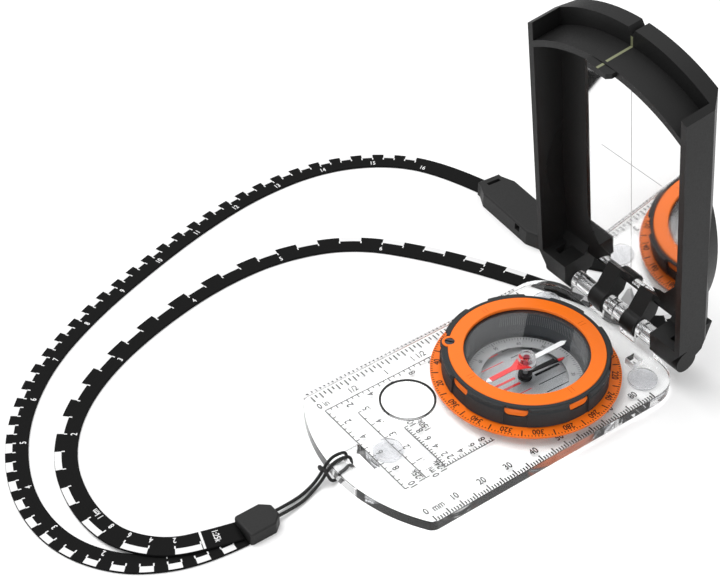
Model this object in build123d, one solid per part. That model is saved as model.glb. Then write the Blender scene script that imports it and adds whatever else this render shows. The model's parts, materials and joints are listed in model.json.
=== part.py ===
from build123d import *
import math
import os

# Mirror sighting compass on a clear baseplate, in millimetres.
# The parts are drawn with X across the plate, Y along it from the zero of its rulers towards
# the hinge, and Z up from the plate's top face. They are moved at the end, so that the origin
# is at the bottom centre of the compass without its lanyard.

# Baseplate
PLATE_W = 65.0
PLATE_T = 4.0
PLATE_FRONT = -13.1
PLATE_REAR = 96.7
FRONT_ARC_R = 55.0
FRONT_CORNER_R = 3.5
REAR_CORNER_R = 12.0
PLATE_EDGE_R = 0.4
WINDOW_X = 5.6
WINDOW_FRONT = -7.6
WINDOW_REAR = -1.3
WINDOW_CORNER_R = 0.8
ALIGN_HOLE = 3.8
ALIGN_HOLE_AT = (16.0, 89.95)

# Feet
FOOT_R = 4.65
FOOT_PROUD = 1.2
FOOT_POCKET = 0.5
FOOT_EDGE_R = 0.6
FOOT_SPOTS = {"foot_front": (0.0, 5.5), "foot_rear_left": (-22.65, 87.6), "foot_rear_right": (22.65, 87.6)}
FLOOR_Z = -PLATE_T - FOOT_PROUD

# Magnifier
LENS_AT = (-11.4, 21.7)
LENS_R = 8.1
LENS_RIM_R = 8.8
LENS_RIM_H = 0.6
LENS_CROWN = 1.1

# Bezel
BEZEL_Y = 59.1
BORE_R = 22.6
HUB_R = 22.5
HUB_UPPER_R = 23.2
HUB_BORE_R = 20.6
HUB_BOTTOM = -3.0
DIAL_R = 29.7
DIAL_Z0 = 0.15
DIAL_Z1 = 0.95
RING_Z0 = 8.1
RING_Z1 = 9.1
RING_R = 24.35
RING_BORE_R = 19.6
RING_EDGE = 0.2
RETAINER_R = 23.9
RETAINER_BORE_R = 19.5
RETAINER_Z0 = -3.9
COUNTERBORE_R = 24.2
COUNTERBORE_Z = -2.7
INDEX_TURN = 2.8
WINDOWS = 8
WINDOW_W = 7.4
WINDOW_Z0 = 4.7
WINDOW_Z1 = 7.3
BOSS_R = 24.95
BOSS_GAP = 0.15
BOSS_FOOT = 0.6
GRIP_TOP = 8.6
GRIP_LIP_R = 24.8
GRIP_FOOT_R = 25.7
GRIP_WAIST_Z = 4.5
GRIP_DRAFT = 0.3
PAD_DEG = 29.0
PAD_PROUD = 0.8
PAD_DRAFT = 0.1
PAD_Z0 = 1.45
PAD_SHOULDER_Z = 6.5
PAD_Z1 = 7.9

# Declination screw and the geared capsule
SCREW_AZIMUTH = 225.6
SCREW_R = 24.0
SCREW_HEAD_R = 1.5
SCREW_SHAFT_R = 1.0
PINION_R = 2.0
GEAR_R = SCREW_R - PINION_R
GEAR_BACKLASH = 0.1
GEAR_Z0 = 6.2
GEAR_Z1 = 7.4
LUG_R = 2.4
LUG_WALL = 0.5
SCREW_SHAFT_Z0 = 2.0
SCREW_HEAD_SINK = 0.15
SCREW_SLOT = 0.5
SCREW_SLOT_TURN = 35.0
RUNNING_FIT = 0.1
FACE_GAP = 0.2

# Capsule
CUP_R = 20.05
CUP_BOTTOM_R = 19.2
CUP_SEAT_Z = -2.6
CUP_Z0 = -3.6
CUP_FLOOR = -2.8
CUP_CAVITY_R = 18.8
CUP_WELL_R = 18.2
CUP_WELL_Z = -1.8
LID_T = 0.5
SCALE_R0 = 13.6
SCALE_R1 = 18.1
SCALE_T = 0.25
ARROW_T = 0.15
ARROW_W = 0.8
ARROW_GAP = 2.6
ARROW_NEAR = (-13.0, -3.0)
ARROW_FAR = (3.0, 12.5)
PIVOT_BASE_R = 2.3
PIVOT_BASE_H = 0.8
PIVOT_BASE_WALL = 0.7
PIVOT_BASE_FLOOR = 0.3
PIVOT_R = 0.8
PIVOT_TOP = 4.4
PIVOT_POINT_H = 1.6
PIVOT_POINT_R = 0.1

# Needle and clinometer
NEEDLE_Z = 3.6
NEEDLE_T = 0.3
NEEDLE_HALF = 16.2
NEEDLE_W = 1.7
NEEDLE_TIP = 1.5
NEEDLE_TURN = -0.8
HUB_CAP_R = 2.75
HUB_CAP_Z1 = 6.4
HUB_CAP_EDGE_R = 0.4
HUB_GROOVE = (1.5, 1.9)
HUB_GROOVE_DEEP = 0.3
MAGNET_R = 3.1
MAGNET_BORE_R = 1.1
MAGNET_T = 0.9
JEWEL_R = 1.0
JEWEL_T = 1.6
JEWEL_CUP_R = 0.85
JEWEL_CUP_TIP_R = 0.12
JEWEL_CUP_PLAY = 0.15
ARM_OVERLAP = 0.6
CLINO_LEN = 14.6
CLINO_W = 0.9
CLINO_T = 0.5
CLINO_Z = -1.7
CLINO_TURN = -7.0
CLINO_HUB_R = 2.2
CLINO_HUB_T = 0.9
CLINO_ROOT = 1.6
CLINO_TIP = 1.0

# Hinge
HINGE_Y = 97.5
HINGE_Z = 5.4
BARREL_R = 2.7
LUG_FRONT = 94.8
BARRELS = ((-19.3, -10.5), (-4.2, 4.2), (10.5, 19.3))
KNUCKLE_R = 4.0
KNUCKLES = ((4.4, 10.3), (-10.3, -4.4))
PIN_R = 0.9
PIN_FIT = 0.07
PIN_HALF = 20.6
BARREL_SLIT = 0.4
PIN_END_GAP = 0.2

# Cover, drawn about the hinge axis: X across, Y height above the axis, Z towards the user.
# Its depths are measured back from the rim.
COVER_LEAN = 7.5
RIM_DEPTH = 5.1
WALL_OUT = 32.5
WALL_IN = 30.4
WALL_TOP = 98.2
PANEL_FRONT = 10.45
PANEL_BACK = 15.65
EDGE_FLAT = 10.5
BACK_EDGE_X = 28.4
ARCH_SIDE = 100.5
ARCH_TOP = 107.9
SHELF_TOP = 101.8
SHELF_R = 56.0
SHELF_T = 2.4
GRIP_H = 39.7
GRIP_HALF = 18.0
GRIP_EDGE_X = 31.3
HOLLOW_FRONT = 3.0
HEEL_H = 1.2
HEEL_DEPTH = 11.5
HEEL_TOP = 10.7
PANEL_FOOT = 7.2
CHEEK_IN = 19.6
CHEEK_TOP = 8.0
NOTCH_W = 4.0
NOTCH_H = 105.7
TAB_OUT = 2.9
TAB_T = 1.7
TAB_DROP = 0.3
TAB_ROOT_HALF = 5.0
TAB_TIP_HALF = 3.8
TAB_SHOULDER = 1.5
MIRROR_T = 1.2
FOAM_T = 0.8
FOAM_SIZE = (30.0, 62.0)
FOAM_H = 55.0
FOAM_R = 4.0
LINE_W = 0.9
LINE_T = 0.3
LINE_FRONT = -2.6
LINE_TOP = NOTCH_H - 0.4
INDEX_T = 1.1
INDEX_HALF = 3.6
INDEX_BASE = -1.3
INDEX_TIP = 6.2
INDEX_TIP_HALF = 0.3

# Lanyard
STRAP_W = 7.0
STRAP_T = 0.9
CORD_D = 1.0
TOGGLE_AT = (0.4, -40.9)
TOGGLE_L = 11.4
TOGGLE_W = 9.2
TOGGLE_H = 4.3
TOGGLE_STRAIGHT = 8.6
TOGGLE_TAPER = 2.4
TOGGLE_EDGE_R = 1.0
TOGGLE_TOP_R = 0.6
CLASP_AT = (-64.0, 111.6)
CLASP_TURN = -4.0
CLASP_HALF_L = 19.0
CLASP_W = 13.6
CLASP_END_W = 9.0
CLASP_H = 5.8
CLASP_TAPER_FROM = 6.5
CLASP_TAPER_TO = 1.5
CLASP_TOP_R = 0.8
CLASP_SLOT = (15.2, 16.6)
CLASP_SLOT_HALF = 2.6
CLASP_SLOT_Z0 = 3.2
CLASP_MOUTH = (10.0, 5.0, 1.2, 4.6)
CLASP_TONGUE = (9.6, 4.6, 1.5, 4.3)
CLASP_TONGUE_GAP = (2.0, 2.6)
CLASP_LATCH_X = (6.0, 8.6)
CLASP_LATCH_DEEP = 2.2
CLASP_LATCH_Z = (2.6, 5.0)

# Middle line of each strand, chosen by hand. The inner strand climbs over the outer one on its
# way into the toggle. Both lie on the floor everywhere else.
FLAT_Z = FLOOR_Z + STRAP_T / 2
OVER_Z = FLAT_Z + STRAP_T + 0.15
STRAP_INNER = [
    (-0.6, -46.6, OVER_Z), (-3.2, -56.0, OVER_Z), (-6.6, -65.5, OVER_Z), (-13.5, -73.0, OVER_Z),
    (-23.0, -77.6, OVER_Z - 0.5), (-38.0, -78.2, FLAT_Z), (-55.5, -73.6, FLAT_Z), (-71.5, -61.5, FLAT_Z),
    (-84.0, -42.5, FLAT_Z), (-93.0, -17.0, FLAT_Z), (-97.9, 9.0, FLAT_Z), (-97.0, 34.0, FLAT_Z),
    (-87.6, 57.5, FLAT_Z), (-66.0, 75.0, FLAT_Z), (-41.5, 89.0, FLAT_Z), (-20.0, 98.5, FLAT_Z),
    (-3.0, 105.0, FLAT_Z), (9.0, 115.0, FLAT_Z), (4.0, 128.0, FLAT_Z), (-12.0, 129.5, FLAT_Z),
    (-25.0, 119.5, FLAT_Z), (-36.0, 111.3, FLAT_Z), (-45.05, 110.27, FLAT_Z),
]
STRAP_OUTER = [
    (0.9, -46.6, FLAT_Z), (0.2, -57.0, FLAT_Z), (-3.4, -69.0, FLAT_Z), (-11.0, -80.5, FLAT_Z),
    (-25.0, -89.2, FLAT_Z), (-42.0, -91.2, FLAT_Z), (-60.0, -87.0, FLAT_Z), (-79.0, -76.0, FLAT_Z),
    (-96.0, -58.0, FLAT_Z), (-108.5, -34.5, FLAT_Z), (-118.0, -8.5, FLAT_Z), (-125.8, 17.5, FLAT_Z),
    (-130.9, 45.0, FLAT_Z), (-129.8, 72.0, FLAT_Z), (-120.0, 93.5, FLAT_Z), (-103.0, 107.5, FLAT_Z),
    (-82.95, 112.93, FLAT_Z),
]
CORD_LOOP = [
    (-0.9, -35.2, -3.5), (-1.5, -27.0, -4.5), (-3.3, -19.9, -4.3), (-5.0, -15.5, -1.0),
    (-4.9, -12.2, 1.5), (-4.8, -7.8, 1.4), (-4.7, -5.9, -0.4), (-4.6, -5.9, -2.9),
    (-2.2, -5.9, -2.9), (-2.1, -5.9, -0.4), (-2.0, -7.8, 1.4), (-1.9, -12.2, 1.5),
    (-1.7, -15.5, -1.0), (-0.6, -19.9, -4.3), (0.7, -27.0, -4.5), (1.3, -35.2, -3.5),
]


def ring(r_in, r_out, z0, z1, at=(0.0, 0.0)):
    body = extrude(Plane.XY.offset(z0) * (Pos(*at) * Circle(r_out)), z1 - z0)
    return body - extrude(Plane.XY.offset(z0) * (Pos(*at) * Circle(r_in)), z1 - z0)


def disc(r, z0, z1, at=(0.0, 0.0)):
    return extrude(Plane.XY.offset(z0) * (Pos(*at) * Circle(r)), z1 - z0)


def block(x0, x1, y0, y1, z0, z1):
    return Pos((x0 + x1) / 2, (y0 + y1) / 2, (z0 + z1) / 2) * Box(x1 - x0, y1 - y0, z1 - z0)


def rod_x(r, x0, x1, y=0.0, z=0.0):
    return Pos((x0 + x1) / 2, y, z) * Rot(0, 90, 0) * Cylinder(r, x1 - x0)


def azimuth_point(azimuth, r):
    turn = math.radians(azimuth)
    return (r * math.sin(turn), r * math.cos(turn))


def prism_x(points, x0, x1):
    """Profile given as (y, z) points, run along X from x0 to x1."""
    face = Plane.YZ.offset(x0) * make_face(Polyline(*points, close=True))
    return extrude(face, x1 - x0)


def prism_z(points, z0, z1):
    return extrude(Plane.XY.offset(z0) * make_face(Polyline(*points, close=True)), z1 - z0)


# Base


def plate_outline():
    half = PLATE_W / 2
    side_y = PLATE_FRONT + FRONT_ARC_R - math.sqrt(FRONT_ARC_R ** 2 - half ** 2)
    edge = ThreePointArc((-half, side_y), (0, PLATE_FRONT), (half, side_y))
    sides = Polyline((half, side_y), (half, PLATE_REAR), (-half, PLATE_REAR), (-half, side_y))
    face = make_face(Curve() + [edge, sides])
    face = fillet(face.vertices().filter_by(lambda v: v.Y < 0), FRONT_CORNER_R)
    return fillet(face.vertices().filter_by(lambda v: v.Y > PLATE_REAR - 1), REAR_CORNER_R)


def baseplate():
    plate = extrude(Plane.XY.offset(-PLATE_T) * plate_outline(), PLATE_T)
    plate = fillet(plate.edges().group_by(Axis.Z)[0] + plate.edges().group_by(Axis.Z)[-1], PLATE_EDGE_R)
    window = block(-WINDOW_X, WINDOW_X, WINDOW_FRONT, WINDOW_REAR, -PLATE_T - 1, 1)
    plate -= fillet(window.edges().filter_by(Axis.Z), WINDOW_CORNER_R)
    hole_x, hole_y = ALIGN_HOLE_AT
    half = ALIGN_HOLE / 2
    plate -= block(hole_x - half, hole_x + half, hole_y - half, hole_y + half, -PLATE_T - 1, 1)
    plate -= disc(BORE_R, -PLATE_T, 0, (0, BEZEL_Y))
    plate -= disc(COUNTERBORE_R, -PLATE_T, COUNTERBORE_Z, (0, BEZEL_Y))
    plate -= disc(LENS_R, -PLATE_T, 0, LENS_AT)
    for spot in FOOT_SPOTS.values():
        plate -= disc(FOOT_R, -PLATE_T, -PLATE_T + FOOT_POCKET, spot)
    for x0, x1 in BARRELS:
        plate += block(x0, x1, LUG_FRONT, PLATE_REAR, -PLATE_T / 2, HINGE_Z)
        plate += rod_x(BARREL_R, x0, x1, HINGE_Y, HINGE_Z)
    plate -= rod_x(PIN_R, -PIN_HALF, PIN_HALF, HINGE_Y, HINGE_Z)
    slit = BARREL_SLIT / 2
    slit_rear = HINGE_Y + BARREL_R + 1
    return plate - block(-slit, slit, LUG_FRONT - 1, slit_rear, HINGE_Z - BARREL_R, HINGE_Z + BARREL_R + 1)


def foot(spot):
    pad = disc(FOOT_R, FLOOR_Z, -PLATE_T + FOOT_POCKET, spot)
    return fillet(pad.edges().group_by(Axis.Z)[0], FOOT_EDGE_R)


def magnifier_lens():
    lens = disc(LENS_R, -PLATE_T, 0, LENS_AT) + disc(LENS_RIM_R, 0, LENS_RIM_H, LENS_AT)
    crown_r = (LENS_R ** 2 + LENS_CROWN ** 2) / (2 * LENS_CROWN)
    crown = Pos(*LENS_AT, LENS_CROWN - crown_r) * Sphere(crown_r)
    return lens + (crown & disc(LENS_R, 0, LENS_CROWN + 1, LENS_AT))


def hinge_pin():
    return rod_x(PIN_R, -PIN_HALF, PIN_HALF, HINGE_Y, HINGE_Z)


# Bezel, drawn about its own axis


def screw_spot():
    return azimuth_point(SCREW_AZIMUTH, SCREW_R)


def grip_window(r, gap):
    """A window with a flat top and rounded lower corners, cut along +Y and r long."""
    half = WINDOW_W / 2 - gap
    top = WINDOW_Z1 - gap
    bottom = WINDOW_Z0 + gap
    corner = top - bottom - BOSS_FOOT
    face = make_face(Polyline((-half, bottom), (half, bottom), (half, top), (-half, top), close=True))
    face = fillet(face.vertices().filter_by(lambda v: v.Y < (top + bottom) / 2), corner)
    return extrude(Plane.XZ * face, -r)


def window_turns():
    return [INDEX_TURN + number * 360.0 / WINDOWS for number in range(WINDOWS)]


def azimuth_ring():
    part = ring(HUB_BORE_R, HUB_R, HUB_BOTTOM, DIAL_Z0) + ring(HUB_BORE_R, DIAL_R, DIAL_Z0, DIAL_Z1)
    part += ring(HUB_BORE_R, HUB_UPPER_R, DIAL_Z1, RING_Z0)
    for turn in window_turns():
        part += Rot(0, 0, -turn) * (grip_window(BOSS_R, BOSS_GAP) - block(-9, 9, 0, HUB_R, 0, RING_Z0))
    lug_top = GEAR_Z0 - FACE_GAP - RUNNING_FIT
    part += disc(LUG_R, DIAL_Z1, lug_top, screw_spot()) - disc(HUB_R, DIAL_Z1, RING_Z0)
    part -= disc(GEAR_R + RUNNING_FIT, GEAR_Z0 - FACE_GAP, RING_Z0)
    part -= disc(SCREW_SHAFT_R + RUNNING_FIT, SCREW_SHAFT_Z0 - FACE_GAP, RING_Z0, screw_spot())
    part -= disc(PINION_R + RUNNING_FIT, lug_top, RING_Z0, screw_spot())
    return part


def bezel_retainer():
    return ring(RETAINER_BORE_R, RETAINER_R, RETAINER_Z0, HUB_BOTTOM)


def grip_ring():
    profile = [
        (HUB_UPPER_R, DIAL_Z1), (GRIP_FOOT_R, DIAL_Z1), (GRIP_FOOT_R - GRIP_DRAFT, GRIP_WAIST_Z),
        (GRIP_LIP_R, GRIP_TOP),
        (RING_R, GRIP_TOP), (RING_R, RING_Z0), (HUB_UPPER_R, RING_Z0),
    ]
    part = revolve(Plane.XZ * make_face(Polyline(*profile, close=True)), Axis.Z)
    pad_r = GRIP_FOOT_R + PAD_PROUD - GRIP_DRAFT
    pad_profile = [
        (HUB_UPPER_R, PAD_Z0), (pad_r, PAD_Z0), (pad_r - PAD_DRAFT, PAD_SHOULDER_Z),
        (GRIP_LIP_R + PAD_PROUD - GRIP_DRAFT, PAD_Z1), (HUB_UPPER_R, PAD_Z1),
    ]
    pad = revolve(Plane.XZ * make_face(Polyline(*pad_profile, close=True)), Axis.Z, PAD_DEG)
    for turn in window_turns():
        part += Rot(0, 0, 90 - turn - 180 / WINDOWS - PAD_DEG / 2) * pad
    part += disc(LUG_R + LUG_WALL, DIAL_Z1, GRIP_TOP, screw_spot()) - disc(HUB_UPPER_R, DIAL_Z1, GRIP_TOP)
    part -= disc(LUG_R, DIAL_Z1, GRIP_TOP, screw_spot())
    part -= disc(RING_R, RING_Z0, GRIP_TOP)
    for turn in window_turns():
        cutter = grip_window(GRIP_FOOT_R + 2, 0) - disc(HUB_R, 0, RING_Z0)
        part -= Rot(0, 0, -turn) * cutter
    return part


def bezel_top_ring():
    part = ring(RING_BORE_R, RING_R, RING_Z0, RING_Z1)
    part = chamfer(part.edges().group_by(Axis.Z)[-1], RING_EDGE)
    lug = disc(LUG_R, RING_Z0, RING_Z1 - RING_EDGE / 2, screw_spot()) - disc(RING_R - 1, RING_Z0, RING_Z1)
    part += lug
    return part - disc(SCREW_HEAD_R + RUNNING_FIT, RING_Z0, RING_Z1, screw_spot())


def declination_screw():
    spot = screw_spot()
    part = disc(SCREW_SHAFT_R, SCREW_SHAFT_Z0, RING_Z0, spot)
    part += disc(PINION_R - GEAR_BACKLASH, GEAR_Z0, GEAR_Z1 - FACE_GAP, spot)
    head = disc(SCREW_HEAD_R, RING_Z0 - RUNNING_FIT, RING_Z1 - SCREW_HEAD_SINK, spot)
    slot = Pos(*spot, RING_Z1) * Rot(0, 0, SCREW_SLOT_TURN) * Box(2 * SCREW_HEAD_R, SCREW_SLOT, 1.2)
    return part + (head - slot)


# Capsule, drawn about the same axis


def capsule_body():
    part = disc(CUP_R, CUP_SEAT_Z, GEAR_Z1) + disc(CUP_BOTTOM_R, CUP_Z0, CUP_SEAT_Z)
    part += disc(GEAR_R - GEAR_BACKLASH, GEAR_Z0, GEAR_Z1)
    part -= disc(CUP_CAVITY_R, CUP_WELL_Z, GEAR_Z1)
    return part - disc(CUP_WELL_R, CUP_FLOOR, CUP_WELL_Z)


def capsule_lid():
    return disc(CUP_R, GEAR_Z1, GEAR_Z1 + LID_T)


def clinometer_scale():
    return ring(SCALE_R0, SCALE_R1, CUP_FLOOR, CUP_FLOOR + SCALE_T)


def orienting_arrow():
    bars = []
    for side in (-1, 1):
        x = side * ARROW_GAP / 2
        for y0, y1 in (ARROW_NEAR, ARROW_FAR):
            bars.append(block(x - ARROW_W / 2, x + ARROW_W / 2, y0, y1, CUP_FLOOR, CUP_FLOOR + ARROW_T))
    return Rot(0, 0, -INDEX_TURN) * Part(bars)


def pivot_pin():
    base = ring(PIVOT_BASE_R - PIVOT_BASE_WALL, PIVOT_BASE_R, CUP_FLOOR, CUP_FLOOR + PIVOT_BASE_H)
    base += disc(PIVOT_BASE_R, CUP_FLOOR, CUP_FLOOR + PIVOT_BASE_FLOOR)
    stem = disc(PIVOT_R, CUP_FLOOR, PIVOT_TOP - PIVOT_POINT_H)
    tip = Pos(0, 0, PIVOT_TOP - PIVOT_POINT_H / 2) * Cone(PIVOT_R, PIVOT_POINT_R, PIVOT_POINT_H)
    return base + stem + tip


# Needle, drawn pointing along +Y


def needle_arm(direction):
    half = NEEDLE_W / 2
    inner = HUB_CAP_R - ARM_OVERLAP
    points = [
        (-half, inner), (half, inner), (half, NEEDLE_HALF - NEEDLE_TIP),
        (0, NEEDLE_HALF), (-half, NEEDLE_HALF - NEEDLE_TIP),
    ]
    arm = prism_z(points, NEEDLE_Z, NEEDLE_Z + NEEDLE_T)
    return Rot(0, 0, NEEDLE_TURN if direction > 0 else NEEDLE_TURN + 180) * arm


def needle_hub():
    cap = disc(HUB_CAP_R, NEEDLE_Z + NEEDLE_T, HUB_CAP_Z1)
    cap = fillet(cap.edges().group_by(Axis.Z)[-1], HUB_CAP_EDGE_R)
    cap -= ring(*HUB_GROOVE, HUB_CAP_Z1 - HUB_GROOVE_DEEP, HUB_CAP_Z1)
    cap += disc(HUB_CAP_R, NEEDLE_Z, NEEDLE_Z + NEEDLE_T)
    cap -= disc(JEWEL_R, NEEDLE_Z, NEEDLE_Z + JEWEL_T)
    for direction in (-1, 1):
        cap -= needle_arm(direction)
    return cap


def needle_magnet():
    return ring(MAGNET_BORE_R, MAGNET_R, NEEDLE_Z - MAGNET_T, NEEDLE_Z)


def needle_jewel():
    jewel = disc(JEWEL_R, NEEDLE_Z, NEEDLE_Z + JEWEL_T)
    deep = PIVOT_TOP - NEEDLE_Z + JEWEL_CUP_PLAY
    return jewel - Pos(0, 0, NEEDLE_Z + deep / 2) * Cone(JEWEL_CUP_R, JEWEL_CUP_TIP_R, deep)


def clinometer_pointer():
    hub = ring(PIVOT_R + RUNNING_FIT, CLINO_HUB_R, CLINO_Z, CLINO_Z + CLINO_HUB_T)
    half = CLINO_W / 2
    shoulder = CLINO_LEN - CLINO_TIP
    points = [(-half, CLINO_ROOT), (half, CLINO_ROOT), (half, shoulder), (0, CLINO_LEN), (-half, shoulder)]
    return Rot(0, 0, CLINO_TURN) * (hub + prism_z(points, CLINO_Z, CLINO_Z + CLINO_T))


# Cover, drawn about the hinge axis


def depth(value):
    return RIM_DEPTH - value


def arc_height(x, top, radius):
    return top - radius + math.sqrt(radius ** 2 - x ** 2)


def cover_slab(face, front, back):
    """The face, drawn in (x, height), from one depth behind the rim to a larger one."""
    return extrude(Plane.XY.offset(depth(back)) * face, back - front)


def cover_outline():
    low = Polyline(
        (-BACK_EDGE_X, ARCH_SIDE), (-WALL_OUT, WALL_TOP), (-WALL_OUT, 7.5), (-28.6, 1.6), (-18.5, 0.6),
        (18.5, 0.6), (28.6, 1.6), (WALL_OUT, 7.5), (WALL_OUT, WALL_TOP), (BACK_EDGE_X, ARCH_SIDE),
    )
    arch = ThreePointArc((BACK_EDGE_X, ARCH_SIDE), (0, ARCH_TOP), (-BACK_EDGE_X, ARCH_SIDE))
    return make_face(Curve() + [low, arch])


def cavity_face(half, bottom, top, radius):
    side_top = arc_height(half, top, radius)
    low = Polyline((-half, side_top), (-half, bottom), (half, bottom), (half, side_top))
    arch = ThreePointArc((half, side_top), (0, top), (-half, side_top))
    return make_face(Curve() + [low, arch])


def above_shelf_face():
    side_top = arc_height(WALL_IN, SHELF_TOP, SHELF_R)
    high = ARCH_TOP + 1
    up = Polyline((-WALL_IN, side_top), (-WALL_IN, high), (WALL_IN, high), (WALL_IN, side_top))
    arch = ThreePointArc((WALL_IN, side_top), (0, SHELF_TOP), (-WALL_IN, side_top))
    return make_face(Curve() + [up, arch])


def depth_profile(points, h0, h1):
    """Profile given as (x, depth) points, run along the height from h0 to h1."""
    flat = [(x, depth(value)) for x, value in points]
    across = Plane(origin=(0, h0, 0), x_dir=(1, 0, 0), z_dir=(0, -1, 0))
    return extrude(across * make_face(Polyline(*flat, close=True)), h0 - h1)


def side_profile(points, x0, x1):
    """Profile given as (height, depth) points, run across from x0 to x1."""
    return prism_x([(height, depth(value)) for height, value in points], x0, x1)


def grip_cone(reach_front, reach_back, front, back, radius):
    """The outer side of a wide cone through the cover's thickness, with its reach across at two depths."""
    height = back - front
    low = depth(back)
    cone = Cone(radius, radius + reach_front - reach_back, height)
    cone = Pos(reach_back - radius, GRIP_H, low + height / 2) * cone
    reach = 2 * GRIP_HALF
    return cone & block(WALL_IN - 5, WALL_OUT, GRIP_H - reach, GRIP_H + reach, low, low + height)


def grip_swelling():
    rise = GRIP_EDGE_X - BACK_EDGE_X
    return grip_cone(WALL_OUT, GRIP_EDGE_X, EDGE_FLAT, PANEL_BACK, GRIP_HALF ** 2 / (2 * rise))


def grip_hollow():
    rise = GRIP_EDGE_X - WALL_IN
    return grip_cone(WALL_IN, GRIP_EDGE_X, HOLLOW_FRONT, PANEL_FRONT, GRIP_HALF ** 2 / (2 * rise))


def mirror_face():
    right = [(20.0, 27.2), (19.0, 20.4), (15.0, 14.9), (9.6, 13.7), (15.2, 8.2)]
    left = [(-x, height) for x, height in reversed(right)]
    top = 94.5
    line = Polyline((20.0, top), *right, *left, (-20.0, top))
    arch = ThreePointArc((20.0, top), (0, 98.0), (-20.0, top))
    return make_face(Curve() + [line, arch])


def knuckle(x0, x1):
    axis = RIM_DEPTH
    arm = [
        (0, axis + KNUCKLE_R), (HEEL_H, HEEL_DEPTH), (HEEL_TOP, PANEL_BACK), (HEEL_TOP, PANEL_FRONT),
        (KNUCKLE_R, axis),
    ]
    return side_profile(arm, x0, x1) + rod_x(KNUCKLE_R, x0, x1)


def tab():
    points = [
        (-TAB_ROOT_HALF, 1), (-TAB_ROOT_HALF, -TAB_SHOULDER), (-TAB_TIP_HALF, -TAB_OUT),
        (TAB_TIP_HALF, -TAB_OUT), (TAB_ROOT_HALF, -TAB_SHOULDER), (TAB_ROOT_HALF, 1),
    ]
    return depth_profile(points, SHELF_TOP - TAB_T - TAB_DROP, SHELF_TOP - TAB_DROP)


def line_inlay():
    """Three runs: along the tab, along the shelf, and up the wall behind it to the notch."""
    low = SHELF_TOP - LINE_T
    back = PANEL_FRONT + LINE_T
    runs = [
        (low - TAB_DROP, low, LINE_FRONT, 1.0),
        (low, SHELF_TOP, 0.9, PANEL_FRONT),
        (low, LINE_TOP, PANEL_FRONT, back),
    ]
    line = Part()
    for h0, h1, front, rear in runs:
        line += side_profile([(h0, front), (h0, rear), (h1, rear), (h1, front)], -LINE_W / 2, LINE_W / 2)
    return line


def cover_shell():
    body = cover_slab(cover_outline(), 0, PANEL_BACK)
    corners = [
        (-WALL_OUT, 0), (WALL_OUT, 0), (WALL_OUT, EDGE_FLAT), (BACK_EDGE_X, PANEL_BACK),
        (-BACK_EDGE_X, PANEL_BACK), (-WALL_OUT, EDGE_FLAT),
    ]
    body &= depth_profile(corners, 0, ARCH_TOP)
    body += grip_swelling()
    body += mirror(grip_swelling(), Plane.YZ)
    body -= cover_slab(cavity_face(WALL_IN, CHEEK_TOP, SHELF_TOP - SHELF_T, SHELF_R), -1, PANEL_FRONT)
    body -= cover_slab(above_shelf_face(), -1, PANEL_FRONT)
    body -= grip_hollow()
    body -= mirror(grip_hollow(), Plane.YZ)
    past_back = PANEL_BACK + 1
    heel = [
        (-1, HEEL_DEPTH), (HEEL_H, HEEL_DEPTH), (HEEL_TOP, PANEL_BACK), (HEEL_TOP, past_back),
        (-1, past_back),
    ]
    body -= side_profile(heel, -WALL_OUT - 1, WALL_OUT + 1)
    body -= block(-CHEEK_IN, CHEEK_IN, -1, PANEL_FOOT, depth(PANEL_BACK + 1), depth(-1))
    body -= block(-CHEEK_IN, CHEEK_IN, -1, CHEEK_TOP + 1, depth(PANEL_FRONT), depth(-1))
    for side in (-1, 1):
        body += knuckle(*sorted((side * CHEEK_IN, side * WALL_IN)))
    for x0, x1 in KNUCKLES:
        body += knuckle(x0, x1)
    body += tab()
    notch = [(-NOTCH_W / 2, ARCH_TOP + 1), (0, NOTCH_H), (NOTCH_W / 2, ARCH_TOP + 1)]
    body -= cover_slab(make_face(Polyline(*notch, close=True)), PANEL_FRONT - 1, PANEL_BACK + 1)
    body -= cover_slab(mirror_face(), PANEL_FRONT, PANEL_FRONT + MIRROR_T)
    body -= cover_slab(pad_face(), PANEL_FRONT + MIRROR_T, PANEL_FRONT + MIRROR_T + FOAM_T)
    body -= line_inlay()
    return body - rod_x(PIN_R + PIN_FIT, -PIN_HALF - PIN_END_GAP, PIN_HALF + PIN_END_GAP)


def pad_face():
    return Pos(0, FOAM_H) * RectangleRounded(*FOAM_SIZE, FOAM_R)


def mirror_glass():
    return cover_slab(mirror_face(), PANEL_FRONT, PANEL_FRONT + MIRROR_T)


def mirror_pad():
    return cover_slab(pad_face(), PANEL_FRONT + MIRROR_T, PANEL_FRONT + MIRROR_T + FOAM_T)


def sighting_index():
    points = [
        (-INDEX_HALF, INDEX_BASE), (INDEX_HALF, INDEX_BASE), (INDEX_TIP_HALF, INDEX_TIP),
        (-INDEX_TIP_HALF, INDEX_TIP),
    ]
    face = make_face(Polyline(*points, close=True))
    return cover_slab(face, PANEL_FRONT - INDEX_T, PANEL_FRONT)


# Lanyard


def corner_radii(route):
    radii = []
    for before, here, after in zip(route, route[1:], route[2:]):
        run_in = Vector(*here) - Vector(*before)
        run_out = Vector(*after) - Vector(*here)
        half_turn = math.radians(run_in.get_angle(run_out)) / 2
        radii.append(0.45 * min(run_in.length, run_out.length) / math.tan(half_turn))
    return radii


def strand(name, route, section, area):
    """A plain solid along the route. Prints its bends, and its volume against section times length."""
    radii = corner_radii(route)
    path = FilletPolyline(*[Vector(*point) for point in route], radius=radii)
    start = Plane(origin=path @ 0, x_dir=Vector(0, 0, 1).cross(path % 0), z_dir=path % 0)
    solid = sweep(start * section, path=path)
    print(name, "radii", [round(radius, 1) for radius in radii])
    ratio = solid.volume / (area * path.length)
    print(name, "length", round(path.length, 1), "volume ratio", round(ratio, 4))
    return solid


def strap(name, route):
    return strand(name, route, Rectangle(STRAP_W, STRAP_T), STRAP_W * STRAP_T)


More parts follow.
